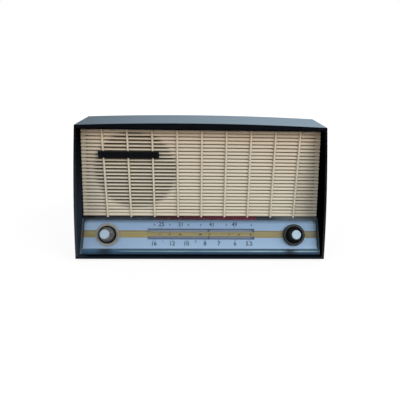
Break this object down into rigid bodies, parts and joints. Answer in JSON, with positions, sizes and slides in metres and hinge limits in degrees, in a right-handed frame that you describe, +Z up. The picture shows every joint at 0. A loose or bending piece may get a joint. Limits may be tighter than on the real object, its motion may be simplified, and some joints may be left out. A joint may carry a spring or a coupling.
{
  "type": "table radio",
  "caption": "Table radio with a flared dark shell, recessed cream slatted grille, sloping silver dial with a gold band and cord-driven pointer, and two capped knobs.",
  "frame": {"origin": "on the ground under the middle of the radio's overall box, feet included", "axes": "+X to the radio's right as seen from the front, +Y from the dial to the back cover, +Z up"},
  "size_m": [0.4, 0.1391, 0.221],
  "materials": {
    "moulded_shell": "polished near-black",
    "grille_plastic": "moulded cream",
    "black_enamel": "satin black",
    "cloth": "woven brown",
    "board": "pressed fibre board",
    "basket_steel": "plated",
    "ferrite": "matt dark grey",
    "cone_paper": "pressed paper",
    "steel_screw": "plated",
    "clear_cover": "clear moulding",
    "silver_panel": "satin silver-blue",
    "gold_foil": "satin gold",
    "scale_print": "printed grey-mauve",
    "bright_steel": "turned",
    "cream_nylon": "moulded",
    "pointer_black": "satin black",
    "cord_thread": "waxed thread",
    "drum_alloy": "die cast",
    "vane_alloy": "rolled",
    "frame_steel": "plated",
    "knob_tan": "metallised tan",
    "knob_black": "polished black",
    "cap_silver": "spun",
    "ring_metal": "dished and lacquered",
    "brass_bush": "turned",
    "brown_paxolin": "laminated board",
    "chassis_steel": "plated sheet",
    "socket_ceramic": "moulded",
    "valve_glass": "clear, silvered at the top",
    "can_alloy": "drawn",
    "transformer_iron": "varnished laminations",
    "dropper_cement": "cemented winding",
    "coil_copper": "waxed winding",
    "lamp_glass": "clear",
    "back_board": "pressed brown board",
    "black_rubber": "moulded"
  },
  "bodies": {
    "radio": {"cabinet": "moulded_shell", "front_frame": "moulded_shell", "grille": "grille_plastic", "plain_bar": "black_enamel", "speaker_cloth": "cloth", "baffle_board": "board", "speaker_basket": "basket_steel", "speaker_magnet": "ferrite", "speaker_surround": "cone_paper", "speaker_screws": "steel_screw", "dial_cover": "clear_cover", "dial_panel": "silver_panel", "gold_band": "gold_foil", "scale_plate": "scale_print", "pointer_rail": "bright_steel", "drive_cord": "cord_thread", "capacitor_frame": "frame_steel", "stator_plates": "vane_alloy", "volume_ring": "ring_metal", "volume_control": "frame_steel", "spindle_bush": "brass_bush", "wave_switch": "brown_paxolin", "chassis": "chassis_steel", "valve_sockets": "socket_ceramic", "signal_valves": "valve_glass", "power_valves": "valve_glass", "if_cans": "can_alloy", "output_transformer": "transformer_iron", "smoothing_capacitor": "can_alloy", "mains_dropper": "dropper_cement", "band_coils": "coil_copper", "dial_lamps": "lamp_glass", "lamp_holders": "brass_bush", "ferrite_rod": "ferrite", "rod_brackets": "cream_nylon", "back_cover": "back_board", "back_screws": "steel_screw", "chassis_screws": "steel_screw", "socket_strip": "brown_paxolin", "lead_grommet": "black_rubber", "feet": "black_rubber"},
    "volume_control_knob": {"volume_shaft": "bright_steel", "volume_knob": "knob_tan", "volume_cap": "cap_silver"},
    "tuning": {"tuning_spindle": "bright_steel", "tuning_knob": "knob_black", "tuning_cap": "cap_silver"},
    "wave_change": {"wave_ring": "knob_black", "wave_ring_inlay": "cap_silver", "wave_lever": "frame_steel"},
    "wave_slide": {"wave_slider": "cream_nylon"},
    "pointer": {"pointer_carriage": "cream_nylon", "pointer": "pointer_black"},
    "drum": {"drive_drum": "drum_alloy", "rotor_shaft": "bright_steel", "rotor_vanes": "vane_alloy"},
    "end_wheel": {"end_pulley": "cream_nylon"},
    "upper_wheel": {"upper_pulley": "cream_nylon"},
    "cone": {"speaker_cone": "cone_paper", "dust_cap": "cone_paper"}
  },
  "joints": [
    {"name": "volume_turn", "type": "hinge", "parent": "radio", "child": "volume_control_knob", "pos_m": [-0.15074, -0.04096, 0.03837], "axis": [0, 0.9272, -0.3746], "range_deg": [0, 290]},
    {"name": "tuning_turn", "type": "hinge", "parent": "radio", "child": "tuning", "pos_m": [0.15074, -0.04096, 0.03837], "axis": [0, 0.9272, -0.3746], "range_deg": [-1322.1, 969.73]},
    {"name": "pointer_slide", "type": "slide", "parent": "radio", "child": "pointer", "axis": [1, 0, 0], "range_m": [-0.09232, 0.06772]},
    {"name": "drum_turn", "type": "hinge", "parent": "radio", "child": "drum", "pos_m": [0.062, -0.01488, 0.1029], "axis": [0, -0.9272, 0.3746], "range_deg": [-103.89, 76.21]},
    {"name": "end_wheel_turn", "type": "hinge", "parent": "radio", "child": "end_wheel", "pos_m": [-0.102, -0.03728, 0.04745], "axis": [0, -0.9272, 0.3746], "range_deg": [-911.84, 668.83]},
    {"name": "upper_wheel_turn", "type": "hinge", "parent": "radio", "child": "upper_wheel", "pos_m": [0.00527, -0.03294, 0.05821], "axis": [0, -0.9272, 0.3746], "range_deg": [-668.83, 911.84]},
    {"name": "wave_turn", "type": "hinge", "parent": "radio", "child": "wave_change", "pos_m": [0.15074, -0.04096, 0.03837], "axis": [0, -0.9272, 0.3746], "range_deg": [0, 30]},
    {"name": "wave_slide", "type": "slide", "parent": "radio", "child": "wave_slide", "axis": [0, 0.3746, 0.9272], "range_m": [0, 0.01036]},
    {"name": "cone_slide", "type": "slide", "parent": "radio", "child": "cone", "axis": [0, -0.9945, -0.1045], "range_m": [-0.001, 0.001], "stiffness_N_per_m": 2000}
  ],
  "couplings": [
    {"joint": "pointer_slide", "follows": "tuning_turn", "m_per_rad": 0.004},
    {"joint": "drum_turn", "follows": "tuning_turn", "ratio": 0.07854},
    {"joint": "end_wheel_turn", "follows": "tuning_turn", "ratio": 0.68966},
    {"joint": "upper_wheel_turn", "follows": "tuning_turn", "ratio": -0.68966},
    {"joint": "wave_slide", "follows": "wave_turn", "m_per_rad": 0.019772}
  ]
}
